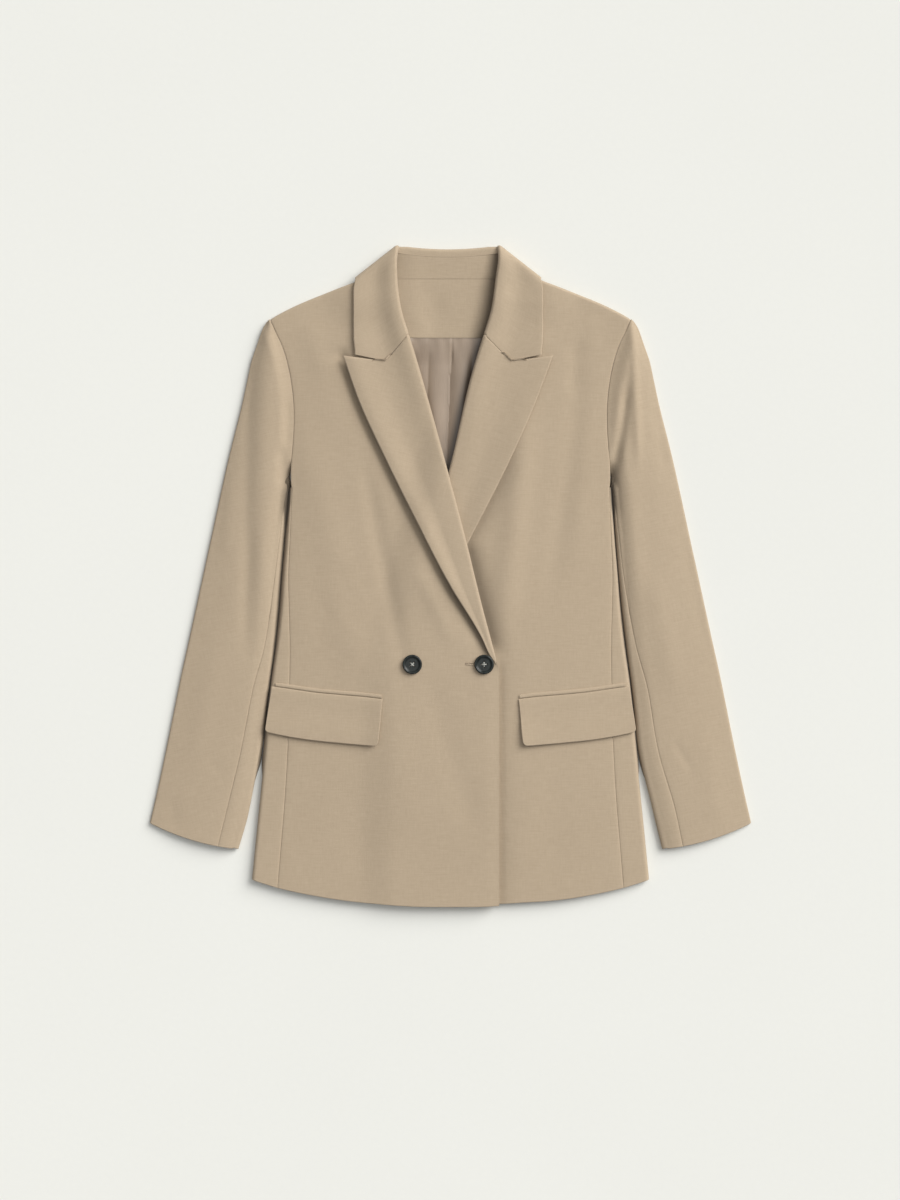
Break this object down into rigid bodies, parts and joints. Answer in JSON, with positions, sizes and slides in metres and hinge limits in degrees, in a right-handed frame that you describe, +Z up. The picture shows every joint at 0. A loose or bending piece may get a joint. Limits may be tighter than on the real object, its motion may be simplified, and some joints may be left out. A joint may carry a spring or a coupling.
{
  "type": "double breasted blazer laid flat",
  "caption": "Double breasted blazer laid flat on its back, fastened right over left, with peak lapels and flap pockets.",
  "frame": {"origin": "bottom centre of the bounding box, on the surface that the blazer lies on", "axes": "+Y from the hem to the collar, +X to the wearer's left, +Z up from the surface, through the fronts"},
  "size_m": [0.7028, 0.7726, 0.0184],
  "materials": {
    "suiting": "matte plain weave",
    "lining": "soft satin",
    "button": "satin"
  },
  "bodies": {
    "root": {"front_right": "suiting", "front_left": "suiting", "side_panel_right": "suiting", "side_panel_left": "suiting", "back_right": "suiting", "back_left": "suiting", "top_sleeve_right": "suiting", "top_sleeve_left": "suiting", "under_sleeve_right": "suiting", "under_sleeve_left": "suiting", "lapel_right": "suiting", "lapel_left": "suiting", "collar": "suiting", "collar_stand": "suiting", "back_neck_facing": "suiting", "pocket_welt_right": "suiting", "pocket_welt_left": "suiting", "pocket_flap_right": "suiting", "pocket_flap_left": "suiting", "back_lining": "lining", "button_right": "button", "button_fastened": "button"}
  },
  "joints": []
}
